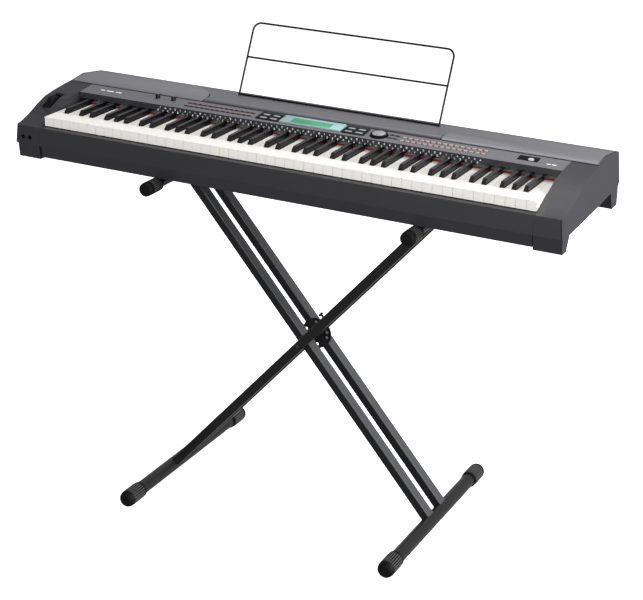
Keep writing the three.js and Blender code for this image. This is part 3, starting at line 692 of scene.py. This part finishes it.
# music rest: wires swept along their lines
def wirePiece(name, lines, radius, finish):
    data = bpy.data.curves.new(name, "CURVE")
    data.dimensions = "3D"
    data.bevel_depth = radius
    data.bevel_resolution = 4
    data.use_fill_caps = True
    for points in lines:
        spline = data.splines.new("POLY")
        spline.points.add(len(points) - 1)
        for point, place in zip(spline.points, points):
            point.co = (*place, 1)
    wire = bpy.data.objects.new(name + "Lines", data)
    scene.collection.objects.link(wire)
    shapes = bpy.context.evaluated_depsgraph_get()
    mesh = bpy.data.meshes.new_from_object(wire.evaluated_get(shapes))
    bpy.data.objects.remove(wire)
    bm = bmesh.new()
    bm.from_mesh(mesh)
    return makePiece(name, bm, finish, 40)


restLow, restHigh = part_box("music_rest")
restUp = Vector(joints["rest_lift"]["axis"])
restWire = {"radius": 2.4, "margin": 2.6, "corner": 19, "cornerSteps": 8, "plug": 11.8, "middle": 92,
            "seatUp": 35.4, "seatBack": 309}
restSeat = Vector((0, keyFront + restWire["seatBack"] * mm, keyTop + restWire["seatUp"] * mm))
restHalf = (restHigh.x - restLow.x) / 2 - restWire["margin"] * mm
restTall = (restHigh.z - restSeat.z - restWire["margin"] * mm) / restUp.z
corner = restWire["corner"] * mm
bow = [(-restHalf, -restWire["plug"] * mm), (-restHalf, restTall - corner)]
for step in range(1, restWire["cornerSteps"] + 1):
    turn = math.pi / 2 * step / restWire["cornerSteps"]
    bow.append((-restHalf + corner * (1 - math.cos(turn)), restTall - corner * (1 - math.sin(turn))))
bow += [(-x, up) for x, up in reversed(bow)]
bars = [[(-restHalf, up), (restHalf, up)] for up in (0, restWire["middle"] * mm)]
lines = [[restSeat + restUp * up + Vector((x, 0, 0)) for x, up in line] for line in (bow, *bars)]
settle(wirePiece("restWires", lines, restWire["radius"] * mm, "wire"), "rest", "rest_wire", "music_rest")
print("music rest made")

# panel: display and pads
screen = {"x": 1, "y": 182, "wide": 154, "deep": 39.4, "high": 3.0, "round": 2.5, "up": 0.32}
glass = {"x": 0.5, "y": 178, "wide": 101, "deep": 26, "high": 0.25, "round": 1.2, "up": 3.2}
pads = {"left": (-108.5, 58.6), "right": (109.5, 56.6), "y": 181, "deep": 39.6, "high": 2.5, "round": 1.5,
        "up": -1.0}
padBars = {"size": (17, 6.5), "spread": (13, 9), "high": 0.1, "round": 1.0, "up": 1.5}
rows = {  # first and last x, columns, the y of both rows
    "left": (-332, -150, 13, (169, 187)),
    "right": (222, 430, 15, (169, 187)),
    "dial": (191, 217, 2, (173, 190)),
}
buttons = {"wide": 8.6, "deep": 4.2, "high": 1.95, "up": -0.5}
inserts = {"deep": 5.9, "high": 0.6, "up": -0.7}
labels = {"wide": 10.6, "deep": 1.9, "high": 0.08, "up": 0.02, "behind": 5.6}


def slopePlate(name, x, y, wide, deep, high, radius, finish, up=0.0):
    return platePiece(name, wide * mm, deep * mm, high * mm, radius * mm, finish, panelMatrix(x, y, up * mm))


bezel = slopePlate("displayBezel", screen["x"], screen["y"], screen["wide"], screen["deep"], screen["high"],
                   screen["round"], "surround", screen["up"])
settle(bezel, "piano", "display", "display_window")
lcd = slopePlate("displayGlass", glass["x"], glass["y"], glass["wide"], glass["deep"], glass["high"],
                 glass["round"], "lcd", glass["up"])
settle(lcd, "piano", "display")


def markPattern(name, wide, deep, high, finish):
    radius = min(wide, deep) * 0.18
    return pattern(platePiece(name, wide * mm, deep * mm, high * mm, radius * mm, finish, Matrix(), 0.05 * mm))


def rowsOnPanel(name, row, shape, finish, up, behind=0.0):
    # both rows of one field; the tree starts a field half a step before its middle
    first, last, columns, (low, far) = rows[row]
    pitch, rowPitch = (last - first) / columns, far - low
    place = onPanel((first + last) / 2 + pitch / 2, low + behind + rowPitch, up * mm)
    values = {"Shape": shape, "Columns": columns, "Rows": 2, "Pitch": pitch * mm, "Row pitch": rowPitch * mm,
              "Place": place, "Turn": (panelTurn, 0, 0), "Material": finishOf(finish)}
    return rowsOf.grow(name, values)


cap = markPattern("buttonCap", buttons["wide"], buttons["deep"], buttons["high"], "button")
label = markPattern("labelBar", labels["wide"], labels["deep"], labels["high"], "printRed")
for side in ("left", "right"):
    body, padNode = side + "_buttons", side + "_button_mat"
    padX, padWide = pads[side]
    block = slopePlate(side + "PadBlock", padX, pads["y"], padWide, pads["deep"], pads["high"], pads["round"],
                       "padBlack", pads["up"])
    settle(block, body, "button_rubber", padNode)
    spreadX, spreadY = padBars["spread"]
    for i, (dx, dy) in enumerate(((-1, -1), (1, -1), (-1, 1), (1, 1))):
        barX, barY = padX + dx * spreadX, pads["y"] + dy * spreadY
        bar = slopePlate("%sPadBar%d" % (side, i), barX, barY, *padBars["size"], padBars["high"],
                         padBars["round"], "padGrey", padBars["up"])
        settle(bar, body, "button_rubber")
    names = ["left"] if side == "left" else ["right", "dial"]
    for row in names:
        capFinish = "paleButton" if row == "right" else "button"
        settle(rowsOnPanel(row + "Buttons", row, cap, capFinish, buttons["up"]), body, "button_rubber")
        first, last, columns, spots = rows[row]
        for i, y in enumerate(spots):
            strip = slopePlate("%sInsert%d" % (row, i), (first + last) / 2, y, last - first, inserts["deep"],
                               inserts["high"], inserts["high"], "case", inserts["up"])
            settle(strip, body, "button_rubber")
        if row != "dial":
            ink = "printPink" if row == "left" else "printRed"
            field = rowsOnPanel(row + "Labels", row, label, ink, labels["up"], labels["behind"])
            settle(field, "piano", "case_plastic")

# panel: printed legends along the front face, without any letters
legend = {"first": -392, "last": 432, "columns": 61, "low": 15.0, "wide": 3.4, "high": 1.9, "round": 0.4,
          "thick": 0.08, "edge": 0.03, "seed": 3}
mark = pattern(platePiece("legendMark", legend["wide"] * mm, legend["high"] * mm, legend["thick"] * mm,
                          legend["round"] * mm, "printWhite", Matrix(), legend["edge"] * mm))
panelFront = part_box("control_panel")[0].y
legendPitch = (legend["last"] - legend["first"]) / legend["columns"]
legendMiddle = (legend["first"] + legend["last"]) / 2
# each line's height over the lowest, its shift to the right and its smallest mark
legendLines = ((0.0, 0.0, 0.55), (2.6, 0.0, 0.35), (6.6, legendPitch / 2, 0.5), (9.0, legendPitch / 2, 0.4))
for i, (up, shift, smallest) in enumerate(legendLines):
    place = Vector(((legendMiddle + shift) * mm, panelFront + 0.02 * mm, keyTop + (legend["low"] + up) * mm))
    values = {"Shape": mark, "Columns": legend["columns"], "Rows": 1, "Pitch": legendPitch * mm,
              "Row pitch": 0.004, "Smallest": smallest, "Seed": legend["seed"] + i, "Place": place,
              "Turn": (math.pi / 2, 0, 0), "Material": finishOf("printWhite")}
    settle(rowsOf.grow("frontLegend%d" % i, values), "piano", "case_plastic")

# panel: name marks reduced to plain bars
badge = {"bars": ((-566, 181, 12), (-545, 181, 20), (-521, 181, 16), (573, 172, 9), (585, 172, 10)),
         "deep": 3.6, "thick": 0.06, "round": 1.2, "up": 0.02}
for i, (x, y, wide) in enumerate(badge["bars"]):
    bar = slopePlate("badgeBar%d" % i, x, y, wide, badge["deep"], badge["thick"], badge["round"], "printWhite",
                     badge["up"])
    settle(bar, "piano", "case_plastic")

# panel: knobs, dial and power button
knobs = {"radius": 6, "high": 9, "ribs": 18, "ribHalf": 0.5, "ribCrown": 0.28, "stem": 2.9, "stemLow": 7.8,
         "pointer": (0.8, 3.6, 0.08, 0.3), "pointerAt": 2.2}
dial = {"radius": 19.4, "high": 5.9, "sides": 72, "dimpleAt": -9.5}
power = {"x": 530, "y": 180, "radius": 6.8, "low": 3.9, "inset": (523, 184, 48, 26, 0.12, 2.0), "insetUp": 0.02}


def lathePiece(name, profile, matrix, finish, sides):
    bm = bmesh.new()
    addLathe(bm, [(max(r * mm, thin), z * mm) for r, z in profile], matrix, sides)
    return makePiece(name, bm, finish, 40)


def stemShape(reach):
    # the shaft under a knob or the dial, out to the rim's lower edge
    stem, low = knobs["stem"], -knobs["stemLow"]
    return [(0, low), (stem, low), (stem, 0.6), (reach, 0.6)]


def knobPiece(name, node, body):
    origin = Vector(joints[body + "_turn"]["pos_m"])
    matrix = Matrix.Translation(origin) @ Matrix.Rotation(panelTurn, 4, "X")
    r, high = knobs["radius"], knobs["high"]
    profile = stemShape(r - 0.3) + [(r - 0.3, 1.4), (r - 0.7, 2.2)]
    profile += [(r - 1.1, high - 0.8), (r - 1.7, high - 0.1), (0, high - 0.1)]
    bm = bmesh.new()
    addLathe(bm, [(max(a * mm, thin), z * mm) for a, z in profile], matrix, 48)
    half, crown = knobs["ribHalf"], knobs["ribCrown"]
    sections = []
    for z, out in ((1.6, r - 0.15), (high - 1.2, r - 0.7)):
        plan = ((r - 2, -half), (out, -crown), (out, crown), (r - 2, half))
        sections.append([(x * mm, y * mm, z * mm) for x, y in plan])
    addRibs(bm, sections, knobs["ribs"], matrix, "fitting")
    settle(makePiece(name, bm, "fitting", 40), body, "fitting_plastic", node)
    wide, deep, thick, corner = (size * mm for size in knobs["pointer"])
    topPlace = matrix @ Matrix.Translation((0, knobs["pointerAt"] * mm, (high - 0.1) * mm))
    pointer = platePiece(name + "Pointer", wide, deep, thick, corner, "printWhite", topPlace, 0.02 * mm)
    settle(pointer, body, "fitting_plastic")


knobPiece("volumeKnob", "volume_knob", "volume")
knobPiece("toneKnob", "tone_knob", "tone")
dialMatrix = Matrix.Translation(dialPlace) @ Matrix.Rotation(panelTurn, 4, "X")
radius, high, sides = dial["radius"], dial["high"], dial["sides"]
ringShape = stemShape(radius - 0.4) + [(radius, 1.2), (radius, high - 1.6), (radius - 1.2, high - 0.3)]
ringShape += [(radius - 2.6, high), (radius - 3.4, high - 0.5), (0, high - 0.7)]
settle(lathePiece("dialRing", ringShape, dialMatrix, "fitting", sides), "dial", "fitting_plastic", "data_dial")
capShape = [(0, high - 0.7), (radius - 3.9, high - 0.7), (radius - 4.6, high - 0.25)]
capShape += [(8, high - 0.15), (0, high - 0.3)]
settle(lathePiece("dialCap", capShape, dialMatrix, "dialCap", sides), "dial", "fitting_plastic")
dimplePlace = dialMatrix @ Matrix.Translation((0, dial["dimpleAt"] * mm, (high - 0.24) * mm))
dimpleShape = [(0, 0), (3.6, 0), (3.2, 0.2), (2.2, 0.06), (0, 0.02)]
settle(lathePiece("dialDimple", dimpleShape, dimplePlace, "fitting", 32), "dial", "fitting_plastic")
collarShape = [(radius + out, up) for out, up in ((0.8, 0), (2.4, 0), (2.2, 0.35), (1.0, 0.35), (0.8, 0))]
settle(lathePiece("dialCollar", collarShape, dialMatrix, "inlay", sides), "piano", "case_plastic")
settle(slopePlate("powerInset", *power["inset"], "inlay", power["insetUp"]), "piano", "case_plastic")
r, low = power["radius"], -power["low"]
powerShape = [(0, low), (r, low), (r, 1.2), (r - 0.6, 1.65), (r - 1.6, 1.75), (r - 2.2, 1.55), (0, 1.45)]
powerKey = lathePiece("powerKey", powerShape, panelMatrix(power["x"], power["y"]), "silver", 48)
settle(powerKey, "power", "fitting_plastic", "power_button")

# painted shade: near-black strips in the seams round the speaker covers, along the rear edge and in the corner
# slit
strip = {"front": 206.8, "frontUp": 33.3, "shoulder": 221, "top": 38, "rear": 338, "low": 30.6}
seam = {"thick": 0.12, "half": 0.9, "inset": 1.4, "up": 0.05, "steps": 24,
        "bend": ((398, 338), (338, 295), (292, 250), (308, 206.8))}
covers = {"edge": ((208.5, 35.5), (212.8, 37.1), (236, 39.1), (261, 41.05), (300, 35.95), (336, 31.3)),
          "edgeAt": 671.6, "edgeHalf": 0.8,
          "foot": (311, 420, 520, 671), "footAt": (205.6, 33.05), "footHalf": 0.9,
          "rear": (400, 480, 560, 671), "rearAt": (337.2, 31.2), "rearHalf": 0.8}
middle = {"rear": (-396, -200, 0, 200, 396), "rearAt": (337.2, 30.8), "rearHalf": 0.7,
          "foot": (-306, -150, 0, 150, 306), "footAt": (206.2, 33.2), "footHalf": 0.6}
slit = {"ends": ((671.6, -20.75, -27), (676.2, -22.05, -65.5)), "half": 0.7, "proud": 0.06, "deep": 0.1}
jacks = {"x": (-659, -640), "front": 20.6, "low": 50,
         "ring": ((3.3, 0), (6.4, 0), (6.0, 0.5), (3.6, 0.5), (3.3, 0))}


def stripHeight(y):
    # height of the middle strip over the key tops
    if y < strip["shoulder"]:
        rise = (strip["top"] - strip["frontUp"]) / (strip["shoulder"] - strip["front"])
        return strip["frontUp"] + (y - strip["front"]) * rise
    fall = (strip["low"] - strip["top"]) / (strip["rear"] - strip["shoulder"])
    return strip["top"] + (y - strip["shoulder"]) * fall


def fromKeys(x, y, z):
    # a point in mm from the middle of the keys' upper front edge
    return Vector((x * mm, keyFront + y * mm, keyTop + z * mm))


def ribbonPiece(name, points, half):
    # flat dark line through points, painted shade along a seam
    spots = [fromKeys(*point) for point in points]
    rings = []
    for i, spot in enumerate(spots):
        ahead = (spots[min(i + 1, len(spots) - 1)] - spots[max(i - 1, 0)]).normalized()
        side = ahead.cross(Vector((0, 0, 1))).normalized()
        up = side.cross(ahead).normalized() * seam["thick"] * mm
        reach = side * half * mm
        rings.append([spot - reach - up, spot + reach - up, spot + reach + up, spot - reach + up])
    bm = bmesh.new()
    addStack(bm, rings)
    settle(makePiece(name, bm, "inlay"), "piano", "case_plastic")


curve = []
for step in range(seam["steps"] + 1):
    t = step / seam["steps"]
    shares = ((1 - t) ** 3, 3 * t * (1 - t) ** 2, 3 * t * t * (1 - t), t ** 3)
    curve.append([sum(share * point[axis] for share, point in zip(shares, seam["bend"])) for axis in (0, 1)])
for side, name in ((1, "right"), (-1, "left")):
    seamPoints = [(side * (x - seam["inset"]), y, stripHeight(y) + seam["up"]) for x, y in curve]
    ribbonPiece(name + "CoverSeam", seamPoints, seam["half"])
    edge = [(side * covers["edgeAt"], y, z) for y, z in covers["edge"]]
    ribbonPiece(name + "CoverEdge", edge, covers["edgeHalf"])
    ribbonPiece(name + "CoverFoot", [(side * x, *covers["footAt"]) for x in covers["foot"]], covers["footHalf"])
    ribbonPiece(name + "RearLine", [(side * x, *covers["rearAt"]) for x in covers["rear"]], covers["rearHalf"])
# the corner slit: a near-black strip, painted shade in the groove
half, proud, deep = slit["half"] * mm, slit["proud"] * mm, slit["deep"] * mm
slitRings = []
for end in slit["ends"]:
    plan = ((-half, -proud), (half, -proud), (half, deep), (-half, deep))
    slitRings.append([fromKeys(*end) + Vector((dx, dy, 0)) for dx, dy in plan])
bm = bmesh.new()
addStack(bm, slitRings)
settle(makePiece("cornerSlit", bm, "inlay"), "piano", "case_plastic")
forwards = Matrix.Rotation(math.radians(90), 4, "X")
for i, x in enumerate(jacks["x"]):
    face = Matrix.Translation(fromKeys(x, -jacks["front"], -jacks["low"])) @ forwards
    ring = lathePiece("jackRing%d" % i, jacks["ring"], face, "inlay", 32)
    settle(ring, "piano", "fitting_plastic")
ribbonPiece("middleRearLine", [(x, *middle["rearAt"]) for x in middle["rear"]], middle["rearHalf"])
ribbonPiece("middleFootLine", [(x, *middle["footAt"]) for x in middle["foot"]], middle["footHalf"])

# pitch wheel in its well
wheel = {"sides": 96, "chamfer": 1.2, "rim": 0.4, "rimEdge": 0.9, "ribs": 60, "ribRoot": 2, "ribTop": 0.1,
         "ribHalf": 0.6, "ribCrown": 0.3, "ribEnd": 1.2}
wheelLow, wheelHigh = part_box("pitch_wheel")
wheelPlace = Matrix.Translation((wheelLow + wheelHigh) / 2) @ Matrix.Rotation(math.radians(90), 4, "Y")
half, radius = (wheelHigh.x - wheelLow.x) / 2, (wheelHigh.z - wheelLow.z) / 2
flank, rim, edge = radius - wheel["chamfer"] * mm, radius - wheel["rim"] * mm, half - wheel["rimEdge"] * mm
bm = bmesh.new()
wheelShape = [(thin, -half), (flank, -half), (rim, -edge), (rim, edge), (flank, half), (thin, half)]
addLathe(bm, wheelShape, wheelPlace, wheel["sides"])
root, top, end = radius - wheel["ribRoot"] * mm, radius - wheel["ribTop"] * mm, half - wheel["ribEnd"] * mm
wide, crown = wheel["ribHalf"] * mm, wheel["ribCrown"] * mm
plan = ((root, -wide), (top, -crown), (top, crown), (root, wide))
sections = [[(x, y, z) for x, y in plan] for z in (-end, end)]
addRibs(bm, sections, wheel["ribs"], wheelPlace, "fitting")
settle(makePiece("bendWheel", bm, "fitting", 30), "bender", "fitting_plastic", "pitch_wheel")
print("panel made")


# floor
def addFloor():
    bm = bmesh.new()
    far = studio["floorHalf"]
    for x, y in ((-far, -far), (far, -far), (far, far), (-far, far)):
        bm.verts.new((x, y, -0.5 * mm))
    bm.faces.new(bm.verts)
    finish = Finish("paleFloor", 0.9)
    finish.shader.inputs["Base Color"].default_value = (studio["floorColour"],) * 3 + (1,)
    finish.shader.inputs["Emission Color"].default_value = (1, 1, 1, 1)
    finish.shader.inputs["Emission Strength"].default_value = studio["floorGlow"]
    finishes["floor"] = finish
    floor = makePiece("paleFloor", bm, "floor")
    floor.visible_diffuse = False
    floor.visible_glossy = False


addFloor()
